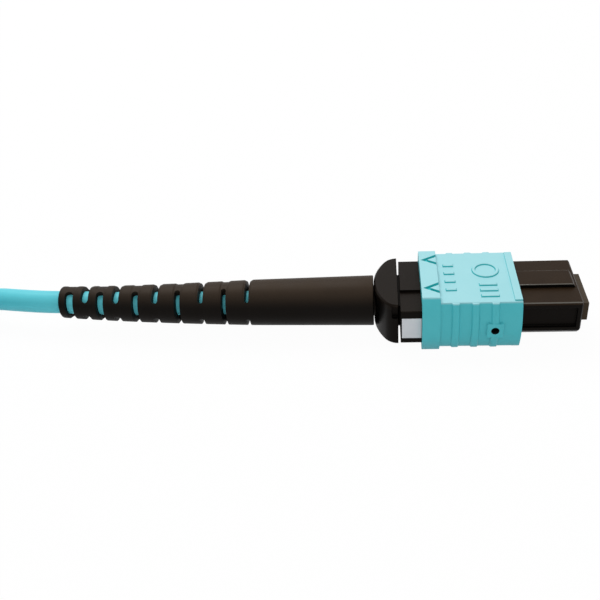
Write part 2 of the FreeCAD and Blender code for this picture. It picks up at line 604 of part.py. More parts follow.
# ---- spring push ----
def spring_push():
    """Rear closure: snap-in body, D-shaped flange and hollow crimp post."""
    half_y, half_z = PUSH_WIDTH / 2, PUSH_HEIGHT / 2
    body = box(FLANGE_FRONT - 0.5, PUSH_FRONT, -half_y, half_y, -half_z, half_z)
    slit_x = PUSH_FRONT - ARM_LENGTH
    slits = []
    for z in (-HOOK_HEIGHT / 2 - ARM_SLIT, HOOK_HEIGHT / 2):
        slits.append(box(slit_x, PUSH_FRONT + 1, half_y - ARM_THICKNESS - ARM_SLIT, PUSH_WIDTH,
                         z, z + ARM_SLIT))
    slits.append(box(slit_x, PUSH_FRONT + 1, half_y - ARM_THICKNESS - ARM_SLIT, half_y - ARM_THICKNESS,
                     -HOOK_HEIGHT / 2, HOOK_HEIGHT / 2))
    hook_x = WINDOW_X + FIT_GAP
    hook = prism(polygon([
        (hook_x, half_y - 0.2, -HOOK_HEIGHT / 2), (hook_x + HOOK_LENGTH, half_y - 0.2, -HOOK_HEIGHT / 2),
        (hook_x + HOOK_LENGTH, half_y, -HOOK_HEIGHT / 2),
        (hook_x + 0.3, half_y + HOOK_PROUD, -HOOK_HEIGHT / 2), (hook_x, half_y + HOOK_PROUD, -HOOK_HEIGHT / 2),
    ]), (0, 0, HOOK_HEIGHT))
    flat_bore = prism(oblong_section(FLANGE_FRONT - FLANGE_DEPTH / 2, BORE_WIDTH, BORE_HEIGHT),
                      (PUSH_FRONT - FLANGE_FRONT + FLANGE_DEPTH, 0, 0))
    round_bore = cylinder_x(POST_END - 1, FLANGE_FRONT - FLANGE_DEPTH / 2 + 0.2, POST_BORE)
    cuts = [flat_bore, round_bore]
    for slit in slits:
        cuts += both_sides(slit)
    post = cylinder_x(POST_END, FLANGE_REAR + 1, POST_DIAMETER)
    return fused(body, d_flange(), post, *both_sides(hook)).cut(cuts).removeSplitter()


def plain_push():
    """The far connector's spring push, as far as it shows outside its housing."""
    half_y, half_z = PUSH_WIDTH / 2, PUSH_HEIGHT / 2
    neck = box(FLANGE_FRONT - 0.5, HOUSING_REAR + FLANGE_DEPTH, -half_y, half_y, -half_z, half_z)
    return fused(neck, d_flange())


def d_flange():
    """Flange that is straight in front and a flat arch of three arcs behind, with a bevelled rim."""
    half, cut = FLANGE_HEIGHT / 2, FLANGE_CHAMFER
    corner_y = FLANGE_WIDTH / 2 - FLANGE_CORNER
    middle = Vec(FLANGE_REAR + FLANGE_RADIUS, 0, 0)
    lean = math.atan2(corner_y, middle.x - FLANGE_FRONT)

    def arch(z, inset):
        """The flange's outline at one height, its rim drawn in by inset."""
        def rim(centre, radius, angle):
            """Point of an arc, its angle counted from the cable's side."""
            return Vec(centre.x - radius * math.cos(angle), centre.y + radius * math.sin(angle), z)

        big, small = FLANGE_RADIUS - inset, FLANGE_CORNER - inset
        left, right = (Vec(FLANGE_FRONT, side * corner_y, 0) for side in (1, -1))
        ends = [rim(left, small, a) for a in (math.pi / 2, (math.pi / 2 + lean) / 2, lean)]
        others = [rim(right, small, -a) for a in (lean, (math.pi / 2 + lean) / 2, math.pi / 2)]
        return Part.Wire([
            Part.Arc(*ends).toShape(), Part.Arc(ends[2], rim(middle, big, 0), others[0]).toShape(),
            Part.Arc(*others).toShape(), Part.LineSegment(others[2], ends[0]).toShape(),
        ])

    plate = ruled([arch(-half, cut), arch(-half + cut, 0), arch(half - cut, 0), arch(half, cut)])
    notch = box(FLANGE_FRONT - NOTCH_LENGTH, FLANGE_FRONT + 1, FLANGE_WIDTH / 2 - NOTCH_DEPTH, FLANGE_WIDTH,
                half - cut - NOTCH_HEIGHT, half - cut)
    return plate.cut(both_sides(notch))


# ---- crimp and cable end ----
def aramid_yarn():
    """The cable's yarn, folded back over the post under the crimp ring."""
    ends = (POST_END, RING_FRONT)
    outer = cylinder_x(*ends, YARN_DIAMETER)
    return outer.cut(cylinder_x(ends[0] - 1, ends[1] + 1, POST_DIAMETER + 2 * FIT_GAP))


def crimp_ring():
    """Stepped ring: wide over the post, narrow on the cable."""
    wide, neck = RING_BORE / 2, NECK_BORE / 2
    return turned([
        (RING_FRONT, wide), (RING_FRONT, wide + RING_WALL), (RING_REAR - RING_WALL, wide + RING_WALL),
        (RING_REAR - RING_WALL, neck + RING_WALL), (NECK_REAR, neck + RING_WALL), (NECK_REAR, neck),
        (RING_REAR, neck), (RING_REAR, wide),
    ])


def cable_end():
    """The jacket inside the strain relief boot."""
    bore = sided_rod(BOOT_TIP + 1, JACKET_FRONT + 1, JACKET_BORE, 12, outside=True)
    return cylinder_x(BOOT_TIP, JACKET_FRONT, CABLE_DIAMETER).cut(bore)


# ---- strain relief boot ----
def slot_centres():
    """The ring slots' places along X, the gaps between them shrinking towards the tip."""
    places = [BOOT_HEAD - SLOT_FIRST]
    for pitch in SLOT_PITCHES:
        places.append(places[-1] - pitch)
    return places


def slot_width(index):
    """Slots widen evenly from the first to the last."""
    share = index / len(SLOT_PITCHES)
    return SLOT_HEAD_WIDTH + share * (SLOT_TIP_WIDTH - SLOT_HEAD_WIDTH)


def boot_profile():
    """Places and radii of the boot's outside: bevelled head, slightly tapered barrel, slotted taper."""
    head, barrel, tip = BOOT_HEAD_DIAMETER / 2, BOOT_BARREL_DIAMETER / 2, BOOT_TIP_DIAMETER / 2
    return [(BOOT_HEAD, head - BOOT_HEAD_ROUND), (BOOT_HEAD - BOOT_HEAD_ROUND, head),
            (BOOT_HEAD - BOOT_BARREL_LENGTH, barrel), (BOOT_TIP, tip)]


def boot_blank():
    """Turned outside of the boot.

    The barrel is turned into a spline of the same shape, which takes far fewer facets than a long cone.
    """
    profile = boot_profile()
    (start, barrel), tip = profile[-2:]
    front = turned([(BOOT_HEAD, 0), *profile[:-1], (start, 0)]).toNurbs()
    return front.fuse(turned([(start, 0), (start, barrel), tip, (BOOT_TIP, 0)]))


def plain_boot():
    """The far connector's boot as a solid of twenty-four sides without slots."""
    angles = [k * math.pi / 12 for k in range(24)]
    return faceted([[Vec(x, r * math.cos(a), r * math.sin(a)) for a in angles]
                    for x, r in boot_profile()])


def boot_bore():
    """Stepped bore: wide over the crimp ring, narrow on its neck, then twelve flats round the cable."""
    ring, neck, cable = (d / 2 + FIT_GAP for d in (RING_DIAMETER, NECK_DIAMETER, CABLE_DIAMETER))
    ring_end, neck_end = RING_REAR - RING_WALL - FIT_GAP, NECK_REAR - FIT_GAP
    steps = turned([(BOOT_HEAD + 1, 0), (BOOT_HEAD + 1, ring), (ring_end, ring), (ring_end, neck),
                    (neck_end, neck), (neck_end, 0)])
    return steps.fuse(sided_rod(BOOT_TIP - 1, neck_end + 0.1, 2 * cable, 12, outside=True))


def ring_slot(x, width, middle):
    """Cutter for one slot: two arcs that leave bridges at middle and opposite it."""
    radius = BOOT_HEAD_DIAMETER
    blade = Part.Face(polygon([(x - width / 2, 0, 0), (x + width / 2, 0, 0),
                               (x + width / 2, 0, radius), (x - width / 2, 0, radius)]))
    pieces = []
    for turn in (0, 180):
        arc = blade.revolve(Vec(0, 0, 0), Vec(1, 0, 0), 180 - BOOT_BRIDGE)
        arc.rotate(Vec(0, 0, 0), Vec(1, 0, 0), middle + turn + BOOT_BRIDGE / 2)
        pieces.append(arc)
    return pieces


def strain_relief_boot():
    """Rubber boot whose ring slots sit a quarter turn apart, one after the other."""
    cutters = []
    for index, x in enumerate(slot_centres()):
        middle = BOOT_ROLL + (90 if index % 2 == 0 else 0)
        cutters += ring_slot(x, slot_width(index), middle)
    return boot_blank().cut([boot_bore(), *cutters])


# ---- cable in the open ----
def cable_tube(route):
    """Cable along straight runs joined by tangent arcs; also prints its bend radii.

    Its section has sixteen corners and the round cable's area.
    """
    corners = [Vec(*p) for p in route]
    edges, radii, start = [], [], corners[0]
    for before, corner, after in zip(corners, corners[1:], corners[2:]):
        back, ahead = before - corner, after - corner
        turn = math.pi - back.getAngle(ahead)
        reach = 0.45 * min(back.Length, ahead.Length)
        radii.append(reach / math.tan(turn / 2))
        entry = corner + back.normalize() * reach
        leave = corner + ahead.normalize() * reach
        sag = (entry + leave) * 0.5 - corner
        middle = corner + sag.normalize() * (radii[-1] / math.cos(turn / 2) - radii[-1])
        edges.append(Part.LineSegment(start, entry).toShape())
        edges.append(Part.Arc(entry, middle, leave).toShape())
        start = leave
    edges.append(Part.LineSegment(start, corners[-1]).toShape())
    path = Part.Wire(edges)
    area, step = math.pi * CABLE_DIAMETER ** 2 / 4, math.pi / 8
    reach = math.sqrt(area / (8 * math.sin(step)))
    first = path.Edges[0]
    turn = FreeCAD.Rotation(Vec(1, 0, 0), first.tangentAt(first.FirstParameter))
    section = polygon([corners[0] + turn.multVec(Vec(0, reach * math.cos((k + 0.5) * step),
                                                     reach * math.sin((k + 0.5) * step)))
                       for k in range(16)])
    tube = path.makePipeShell([section], True, True)
    expected = area * path.Length
    print("cable run", round(path.Length, 2), "mm, bend radii", [round(r, 1) for r in radii],
          "volume over section x length", round(tube.Volume / expected, 4))
    return tube, path.Length


def hank_outline(z, radius):
    """Racetrack outline of one fold radius about the hank's centre."""
    run = HANK_RUN / 2
    x, y = HANK_CENTRE_X, HANK_CENTRE_Y
    return Part.Wire([
        Part.LineSegment(Vec(x - run, y + radius, z), Vec(x + run, y + radius, z)).toShape(),
        Part.Arc(Vec(x + run, y + radius, z), Vec(x + run + radius, y, z),
                 Vec(x + run, y - radius, z)).toShape(),
        Part.LineSegment(Vec(x + run, y - radius, z), Vec(x - run, y - radius, z)).toShape(),
        Part.Arc(Vec(x - run, y - radius, z), Vec(x - run - radius, y, z),
                 Vec(x - run, y + radius, z)).toShape(),
    ])


def cable_hank():
    """Outer shape of the folded turns, as one ring."""
    outer, inner = HANK_OUTER_FOLD + CABLE_DIAMETER / 2, HANK_INNER_FOLD - CABLE_DIAMETER / 2
    up = (0, 0, HANK_TOP - HANK_BOTTOM)
    return prism(hank_outline(HANK_BOTTOM, outer), up).cut(prism(hank_outline(HANK_BOTTOM, inner), up))


def hank_length():
    """Cable in the hank's turns, whose folds take the inner and outer radius about equally."""
    return HANK_TURNS * (2 * HANK_RUN + math.pi * (HANK_INNER_FOLD + HANK_OUTER_FOLD))


def hank_tie():
    """Strap round the middle of the hank."""
    half_y, t = HANK_OUTER_FOLD + CABLE_DIAMETER / 2, TIE_THICKNESS
    x = HANK_CENTRE_X - TIE_WIDTH / 2
    height = (HANK_TOP - HANK_BOTTOM) / 2
    middle = (HANK_TOP + HANK_BOTTOM) / 2
    rings = [chamfered_section(x, half_y + grow, -height - grow, height + grow, cut, cut)
             for grow, cut in ((t, t), (0.0, FIT_GAP))]
    strap = prism(rings[0], (TIE_WIDTH, 0, 0)).cut(prism(rings[1], (TIE_WIDTH, 0, 0)))
    strap.translate(Vec(0, HANK_CENTRE_Y, middle))
    return strap


# ---- the assembly ----
def connector():
    """The near connector's pieces, by node name."""
    return {
        "outer_sleeve": outer_sleeve(),
        "inner_housing": inner_housing(),
        "position_mark": position_mark(),
        "mt_ferrule": mt_ferrule(),
        "ferrule_rubber": ferrule_rubber(),
        "pin_clamp": pin_clamp(),
        "fibre_ribbon": fibre_ribbon(),
        "ferrule_spring": ferrule_spring(),
        "coupling_spring_left": coupling_spring(1),
        "coupling_spring_right": coupling_spring(-1),
        "spring_push": spring_push(),
        "aramid_yarn": aramid_yarn(),
        "crimp_ring": crimp_ring(),
        "cable_end": cable_end(),
        "strain_relief_boot": strain_relief_boot(),
    }


def far_connector(near):
    """The outside of the second connector, turned round and laid on the hank."""
    turned_round = FreeCAD.Placement(Vec(0, 0, 0), FreeCAD.Rotation(Vec(0, 0, 1), 180))
    end = Vec(*TAIL_ROUTE[-1]) + Vec(BOOT_TIP, 0, 0)
    pieces = {name: near[name].copy() for name in ("outer_sleeve", "inner_housing", "position_mark")}
    pieces.update({"mt_ferrule": ferrule_blank(), "spring_push": plain_push(), "boot": plain_boot()})
    moved = {}
    for name, shape in pieces.items():
        shape.Placement = FreeCAD.Placement(end, FreeCAD.Rotation()).multiply(turned_round)
        moved["far_" + name] = shape
    return moved


def build():
    """Every node's shape in the row's frame."""
    nodes = connector()
    lead, lead_length = cable_tube(LEAD_ROUTE)
    tail, tail_length = cable_tube(TAIL_ROUTE)
    print("whole cable", round(lead_length + tail_length + hank_length(), 1), "mm")
    nodes.update({"cable_lead": lead, "cable_tail": tail, "cable_hank": cable_hank(),
                  "hank_tie": hank_tie()})
    nodes.update(far_connector(nodes))
    middle = (FERRULE_FRONT + BOOT_TIP) / 2
    for shape in nodes.values():
        shape.translate(Vec(-middle, 0, BAND_HALF))
    return nodes


os.makedirs("parts", exist_ok=True)
for node, solid in build().items():
    solid.exportStep("parts/" + node + ".step")
    print(node, solid.isValid(), len(solid.Solids), round(solid.Volume, 3))
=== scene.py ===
import math

import bmesh
import bpy
import numpy as np
from mathutils import Matrix, Vector


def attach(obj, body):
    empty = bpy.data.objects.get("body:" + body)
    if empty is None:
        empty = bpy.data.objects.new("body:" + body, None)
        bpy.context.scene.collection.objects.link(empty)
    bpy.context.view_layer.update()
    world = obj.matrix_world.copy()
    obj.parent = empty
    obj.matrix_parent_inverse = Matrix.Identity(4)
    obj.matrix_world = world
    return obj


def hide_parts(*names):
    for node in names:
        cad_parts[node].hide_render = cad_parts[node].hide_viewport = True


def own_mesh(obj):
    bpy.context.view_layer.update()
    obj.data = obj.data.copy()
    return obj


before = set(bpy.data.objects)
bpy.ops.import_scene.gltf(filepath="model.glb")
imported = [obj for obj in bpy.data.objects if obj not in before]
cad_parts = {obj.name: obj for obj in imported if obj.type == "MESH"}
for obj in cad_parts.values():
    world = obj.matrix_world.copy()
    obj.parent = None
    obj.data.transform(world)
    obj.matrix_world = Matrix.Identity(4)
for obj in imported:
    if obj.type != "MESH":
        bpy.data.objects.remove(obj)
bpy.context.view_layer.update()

# ---- measures in millimetres, along the near connector's own axes (x = 0 at the sleeve's rear edge) ----
MM = 0.001
BOOT_TIP = -46.48
FERRULE_FACE = 20.02
BAND_HALF, BAND_END = 3.9, 2.15               # half the height of the sleeve's rear band, and its front edge
SLEEVE_TOP = 3.25
SIDE_HOLE_X, SIDE_HOLE_Z = 8.6, -0.25
KEY_TOP, KEY_HALF = 2.97, 1.56
PLUG_TOP, PLUG_HALF = 2.45, 4.75
FERRULE_TRAVEL, SLEEVE_TRAVEL = 0.8, 2.0
SHIFT = np.array([-(FERRULE_FACE + BOOT_TIP) / 2, 0.0, BAND_HALF])
CABLE, CABLE_BORE = 3.0, 2.0
FAR_TIP = np.array([-92.0, -0.8, 9.45])       # tip of the far connector's boot
FAR_ORIGIN = FAR_TIP + (BOOT_TIP, 0, 0)


def placed(points, far=False):
    """Connector points in millimetres, moved to the row's frame in metres; far ones turn half round and go
    to the far connector's place."""
    points = np.asarray(points, float)
    if far:
        points = points * (-1, -1, 1) + FAR_ORIGIN
    return (points + SHIFT) * MM


# ---- shader maths ----
class Value:
    """A node's output that takes part in sums; every operation adds its own Math node."""

    def __init__(self, finish, socket):
        self.finish, self.socket = finish, socket

    def math(self, operation, *others):
        """One Math node over this value and the others."""
        return self.finish.add("ShaderNodeMath", {"operation": operation},
                               {n: v for n, v in enumerate((self, *others))})

    def __add__(self, other):
        return self.math("ADD", other)

    def __sub__(self, other):
        return self.math("SUBTRACT", other)

    def __mul__(self, other):
        return self.math("MULTIPLY", other)

    def __radd__(self, other):
        return self.math("ADD", other)

    def __rmul__(self, other):
        return self.math("MULTIPLY", other)

    def __rsub__(self, other):
        return self.finish.number(other).math("SUBTRACT", self)

    def __abs__(self):
        return self.math("ABSOLUTE")

    def above(self, edge, soft):
        """0 below edge, 1 above it, with a ramp of width soft between."""
        return self.finish.add("ShaderNodeMapRange", {"interpolation_type": "SMOOTHSTEP"},
                               {"Value": self, "From Min": edge - soft / 2, "From Max": edge + soft / 2})

    def below(self, edge, soft):
        """1 below edge, 0 above it."""
        return 1 - self.above(edge, soft)

    def between(self, low, high, soft):
        """1 between two edges, 0 outside."""
        return self.above(low, soft) * self.below(high, soft)


class Finish:
    """A procedural material built round one Principled shader; lengths in its patterns are millimetres."""

    def __init__(self, name, far=False, **constants):
        self.material = bpy.data.materials.new(name)
        self.material.use_nodes = True
        self.tree = self.material.node_tree
        self.shader = self.tree.nodes["Principled BSDF"]
        for socket, value in constants.items():
            self.shader.inputs[socket.replace("_", " ")].default_value = value
        turn = -1.0 if far else 1.0
        origin = (FAR_ORIGIN if far else np.zeros(3)) + SHIFT
        place = self.add("ShaderNodeTexCoord", {}, {}, "Object")
        place = self.vector("SUBTRACT", place, tuple(origin * MM))
        self.place = self.vector("MULTIPLY", place, (turn / MM, turn / MM, 1 / MM))

    def add(self, kind, settings, inputs, output=0):
        """Any node: its settings first, then its sockets' values or links."""
        node = self.tree.nodes.new(kind)
        for name, value in settings.items():
            setattr(node, name, value)
        for name, value in inputs.items():
            if isinstance(value, Value):
                self.tree.links.new(value.socket, node.inputs[name])
            else:
                node.inputs[name].default_value = value
        return Value(self, node.outputs[output])

    def number(self, value):
        """A plain number as a node's output."""
        return self.add("ShaderNodeMath", {"operation": "ADD"}, {0: value, 1: 0.0})

    def vector(self, operation, first, second):
        """One Vector Math node."""
        return self.add("ShaderNodeVectorMath", {"operation": operation}, {0: first, 1: second}, "Vector")

    def axis(self, name):
        """The point's x, y or z."""
        return self.add("ShaderNodeSeparateXYZ", {}, {0: self.place}, name)

    def noise(self, scale, detail=2.0, rough=0.5, stretch=(1, 1, 1)):
        """Smooth noise from 0 to 1, scale in waves per millimetre, squeezed along the axes by stretch."""
        return self.add("ShaderNodeTexNoise", {}, {"Vector": self.vector("MULTIPLY", self.place, stretch),
                                                   "Scale": scale, "Detail": detail, "Roughness": rough})

    def mix(self, share, first, second):
        """Colour between first and second."""
        return self.add("ShaderNodeMix", {"data_type": "RGBA"}, {0: share, 6: first, 7: second}, 2)

    def feed(self, **values):
        """Links values to the shader's own sockets."""
        for name, value in values.items():
            self.tree.links.new(value.socket, self.shader.inputs[name.replace("_", " ")])
        return self

    def tones(self, share, dark, pale, rough, spread):
        """Colour from dark to pale, and roughness from rough up by spread, both by the share."""
        return self.feed(Base_Color=self.mix(share, colour(*dark), colour(*pale)),
                         Roughness=rough + spread * share)

    def bump(self, height, strength, distance):
        """Relief from height, distance in millimetres."""
        return self.feed(Normal=self.add("ShaderNodeBump", {}, {
            "Height": height, "Strength": strength, "Distance": distance * MM}))


def colour(*display):
    """Red, green and blue from 0 to 255, as the linear colour that a shader takes."""
    shares = [v / 255 for v in display]
    return (*(v / 12.92 if v <= 0.04045 else ((v + 0.055) / 1.055) ** 2.4 for v in shares), 1.0)


# ---- finishes ----
WARM = (1.0, 0.82, 0.68, 1.0)      # tint of the blacks' sheen
FINE = 0.02                        # soft border of a painted zone


def sleeve_plastic(far):
    """Aqua moulded plastic, with a painted sheen that makes its top and bottom faces paler, and painted shade
    in the arrow grooves, inside the side opening and round the feet of the raised marks."""
    f = Finish("aqua_plastic" + "_far" * far, far, Specular_IOR_Level=0.4)
    x, y, z = f.axis("X"), f.axis("Y"), f.axis("Z")
    cloud = f.noise(0.35, 3)
    side = f.mix(cloud, colour(66, 184, 194), colour(76, 191, 200))
    top = f.mix(cloud, colour(146, 207, 214), colour(156, 212, 219))
    # painted sheen: faces at the sleeve's top level, on the band and on the body, and likewise at the bottom,
    # take the paler colour
    level = abs(z) - (BAND_HALF - SLEEVE_TOP) * x.below(BAND_END + 0.03, 0.04)
    base = f.mix(level.above(SLEEVE_TOP - 0.13, 0.24), side, top)
    # painted shade in the arrow grooves on the band and low on the raised marks
    painted_groove_shade = (x.between(0.1, BAND_END - 0.05, FINE) * z.between(BAND_HALF - 0.4, BAND_HALF - 0.04, FINE)
              * abs(y).between(1.85, 4.5, FINE))
    painted_foot_shade = x.above(BAND_END + 0.15, FINE) * z.between(SLEEVE_TOP + 0.012, SLEEVE_TOP + 0.13, FINE)
    base = f.mix(painted_groove_shade.math("MAXIMUM", painted_foot_shade), base, colour(34, 186, 190))
    # painted shade: a near-black disc over the side opening on the near side
    along, up = x - SIDE_HOLE_X, z - SIDE_HOLE_Z
    painted_hole_shade = (along * along + up * up).math("SQRT").below(0.49, FINE) * y.below(0.0, 0.1)
    base = f.mix(painted_hole_shade, base, colour(8, 16, 17))
    f.feed(Base_Color=base, Roughness=0.38 + 0.12 * cloud)
    return f.bump(f.noise(9, 3, 0.6), 0.2, 0.01).material


def housing_plastic(far):
    """Black glass-filled plastic with a fine spark-eroded grain, a painted brownish sheen where it faces up,
    and a painted highlight, paler and with a clear coat, on the upper edges of key and plug."""
    f = Finish("black_plastic" + "_far" * far, far, Specular_IOR_Level=0.06, Specular_Tint=WARM,
               Coat_Roughness=0.12)
    x, y, z = f.axis("X"), f.axis("Y"), f.axis("Z")
    cloud = f.noise(0.5, 3)
    side = f.mix(cloud, colour(7, 6, 6), colour(12, 11, 10))
    top = f.mix(cloud, colour(35, 25, 16), colour(45, 33, 22))
    out = abs(y)
    # painted sheen: upward faces take the brownish colour, less of it towards the rear and none on the key's
    # side walls
    key_side = (z.between(PLUG_TOP + 0.02, KEY_TOP - 0.11, 0.04)
                * out.between(KEY_HALF - 0.04, KEY_HALF + 0.06, FINE))
    up = z.above(PLUG_TOP - 0.35, 0.16) * (0.15 + 0.85 * x.above(4.0, 4.0)) * (1 - key_side)
    # painted highlight: the upper edges of key and plug take a pale colour, with a clear coat there too
    key_edge_highlight = z.above(KEY_TOP - 0.1, 0.04) * out.above(KEY_HALF - 0.09, 0.04)
    plug_edge_highlight = z.between(PLUG_TOP - 0.11, PLUG_TOP + 0.01, 0.04) * out.above(PLUG_HALF - 0.13, 0.04)
    edge = x.above(4.0, 0.1) * key_edge_highlight.math("MAXIMUM", plug_edge_highlight)
    base = f.mix(edge, f.mix(up, side, top), colour(84, 80, 72))
    f.feed(Base_Color=base, Roughness=0.3 + 0.14 * cloud, Coat_Weight=edge)
    return f.bump(f.noise(12, 3, 0.65), 0.25, 0.01).material


def boot_rubber(far):
    """Soft black rubber, with a painted brownish sheen where it faces up."""
    f = Finish("boot_rubber" + "_far" * far, far, Specular_IOR_Level=0.09, Specular_Tint=WARM)
    cloud = f.noise(0.4, 4)
    side = f.mix(cloud, colour(6, 6, 6), colour(12, 11, 11))
    top = f.mix(cloud, colour(42, 34, 27), colour(54, 44, 35))
    # painted sheen: the upper part of the boot takes the brownish colour
    f.feed(Base_Color=f.mix(f.axis("Z").above(1.9, 2.2), side, top), Roughness=0.44 + 0.16 * cloud)
    return f.bump(f.noise(8, 4, 0.65), 0.3, 0.02).material


def cable_vinyl():
    """Aqua cable jacket, slightly uneven."""
    f = Finish("cable_vinyl", Specular_IOR_Level=0.25)
    f.tones(f.noise(0.6, 3), (86, 196, 210), (98, 205, 217), 0.4, 0.12)
    return f.bump(f.noise(7, 3), 0.3, 0.02).material


def mark_plastic(far):
    """Matt white plastic."""
    f = Finish("white_plastic" + "_far" * far, far)
    return f.tones(f.noise(0.8, 2), (205, 209, 215), (220, 222, 225), 0.5, 0.1).material


def ferrule_resin(far):
    """Filled brown resin with a grain of fine glass beads."""
    f = Finish("ferrule_resin" + "_far" * far, far, Specular_IOR_Level=0.2, Specular_Tint=WARM)
    grain = f.noise(14, 3, 0.7)
    return f.tones(grain, (40, 32, 21), (60, 49, 33), 0.3, 0.2).bump(grain, 0.2, 0.01).material


def spring_steel():
    """Bright drawn wire."""
    f = Finish("spring_steel", Metallic=1.0)
    return f.tones(f.noise(3, 3), (168, 168, 172), (205, 205, 208), 0.25, 0.15).material


def crimp_metal():
    """Nickel-plated brass."""
    f = Finish("crimp_metal", Metallic=1.0)
    return f.tones(f.noise(2, 3), (188, 184, 172), (212, 208, 198), 0.28, 0.15).material


def glass_fibre():
    """Clear coated fibres."""
    f = Finish("glass_fibre")
    return f.tones(f.noise(2, 2), (206, 212, 210), (228, 232, 230), 0.2, 0.1).material


def yarn_fabric():
    """Yellow yarn, its strands along the cable."""
    f = Finish("yarn_fabric")
    strand = f.noise(3, 3, 0.6, (0.15, 4, 4))
    return f.tones(strand, (190, 150, 50), (226, 192, 92), 0.6, 0.2).bump(strand, 0.5, 0.03).material


def strap_fabric():
    """Black woven strap with a looped surface."""
    f = Finish("strap_fabric")
    x, y, z = f.axis("X"), f.axis("Y"), f.axis("Z")
    weave = (x * 9).math("SINE") * ((y + z) * 9).math("SINE")
    fuzz = f.noise(6, 4, 0.7)
    f.tones(fuzz, (24, 24, 26), (52, 52, 55), 0.75, 0.15)
    return f.bump(weave * 0.5 + fuzz, 0.6, 0.08).material


# ---- meshes ----
DOUBLES = 1e-7                                    # metres
SHARP, FLAT = math.radians(32), math.radians(0.4)
ROOM_SHARE = 0.2                                  # of the room beside an edge, the most that its round takes


def shown(name, data):
    """A new object in the scene."""
    thing = bpy.data.objects.new(name, data)
    bpy.context.scene.collection.objects.link(thing)
    return thing


def given_place(piece, material, body, stands_for):
    """Gives a piece its material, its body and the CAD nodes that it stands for."""
    piece.data.materials.append(material)
    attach(piece, body)
    if stands_for:
        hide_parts(*stands_for)
    return piece


def new_piece(name, points, faces, material, body, stands_for, smooth=30):
    """An object from finished points in the row's frame, with sharp edges above the smooth angle."""
    mesh = bpy.data.meshes.new(name)
    mesh.from_pydata([tuple(p) for p in points], [], [tuple(f) for f in faces])
    mesh.validate()
    mesh.shade_smooth()
    mesh.set_sharp_from_angle(angle=math.radians(smooth))
    return given_place(shown(name, mesh), material, body, stands_for)


def merged(node):
    """A CAD node's surface with its doubled points merged."""
    work = bmesh.new()
    work.from_mesh(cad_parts[node].data)
    bmesh.ops.remove_doubles(work, verts=work.verts, dist=DOUBLES)
    return work


def room_beside(edge):
    """Shortest of the edges that meet an edge, and of its faces' corners' distances from its line."""
    lengths = [near.calc_length() for vert in edge.verts for near in vert.link_edges]
    start, along = edge.verts[0].co, (edge.verts[1].co - edge.verts[0].co).normalized()
    corners = [vert.co - start for face in edge.link_faces for vert in face.verts]
    return min(lengths + [d for d in (c.cross(along).length for c in corners) if d > 1e-6])


def edged_copy(node, name, material, body, slot, width):
    """A CAD node's surface, merged and with its flat faces made whole, whose sharp edges get a small round.

    Each edge's round is the width, or a share of the room beside it, if that is less."""
    work = merged(node)
    bmesh.ops.dissolve_limit(work, angle_limit=FLAT, verts=work.verts, edges=work.edges)
    weight = work.edges.layers.float.new("bevel_weight_edge")
    for edge in work.edges:
        if edge.calc_face_angle(0.0) > SHARP:
            edge[weight] = min(ROOM_SHARE * room_beside(edge) / (width * MM), 1.0)
    mesh = bpy.data.meshes.new(name)
    work.to_mesh(mesh)
    work.free()
    mesh.shade_smooth()
    piece = shown(name, mesh)
    round_edges(piece, width, "WEIGHT")
    return given_place(piece, material, body, (node,))


def squeezed_spring(node, name, travel, material):
    """A CAD spring's surface, merged, as a piece of its own at full length; the travel does not shorten it.
    """
    work = merged(node)
    points = [tuple(vert.co) for vert in work.verts]
    faces = [[vert.index for vert in face.verts] for face in work.faces]
    work.free()
    rear, front = min(p[0] for p in points), max(p[0] for p in points)
    piece = new_piece(name, points, faces, material, "connector", (node,))
    1 - travel * MM / (front - rear)
    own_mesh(piece)


def bevelled(piece, width, method, angle=50):
    """Rounds a piece's edges by weight, or those above an angle."""
    bevel = piece.modifiers.new("edge", "BEVEL")
    bevel.width = width * MM
    bevel.segments = 2
    bevel.limit_method = method
    bevel.angle_limit = math.radians(angle)
    bevel.use_clamp_overlap = method != "WEIGHT"
    return bevel


def round_edges(piece, width, method, angle=50):
    """Rounds a piece's edges and lets its large faces set the shading."""
    bevelled(piece, width, method, angle)
    piece.modifiers.new("shading", "WEIGHTED_NORMAL").keep_sharp = True


def loop_faces(rows, columns, closed_rows=False):
    """Quads between rows of points that run round a piece, each row closed on itself."""
    index = np.arange(rows * columns).reshape(rows, columns)
    below = np.roll(index, -1, 0) if closed_rows else index[1:]
    above = index if closed_rows else index[:-1]
    return np.stack([above, np.roll(above, -1, 1), np.roll(below, -1, 1), below], -1).reshape(-1, 4)


# ---- generic marks on the sleeve ----
MARK_ROOT, MARK_TOP, MARK_SLOPE = 3.2, 3.43, 0.1
GRIP_BARS = [(3.6, y, 1.35, 0.6) for y in (-2.8, -1.0, 0.8, 2.6)]     # middle x and y, length, width
FRONT_BARS = [(8.1, y, 2.2, 0.6) for y in (-4.2, -3.0, -1.8)]
RING_X, RING_Y, RING_INSIDE, RING_OUTSIDE, RING_POINTS = 8.1, 1.4, 1.2, 1.7, 40


def raised_bar(x, y, length, width):
    """Corners of a low bar: the length and width at its sunk root and at the sleeve's top, and both drawn in
    by the slope on either side at its own top."""
    rows = [(0.0, MARK_ROOT), (0.0, SLEEVE_TOP), (MARK_SLOPE, MARK_TOP)]
    corners = [(-0.5, -0.5), (0.5, -0.5), (0.5, 0.5), (-0.5, 0.5)]
    return np.array([(x + a * (length - 2 * d), y + b * (width - 2 * d), z)
                     for d, z in rows for a, b in corners])


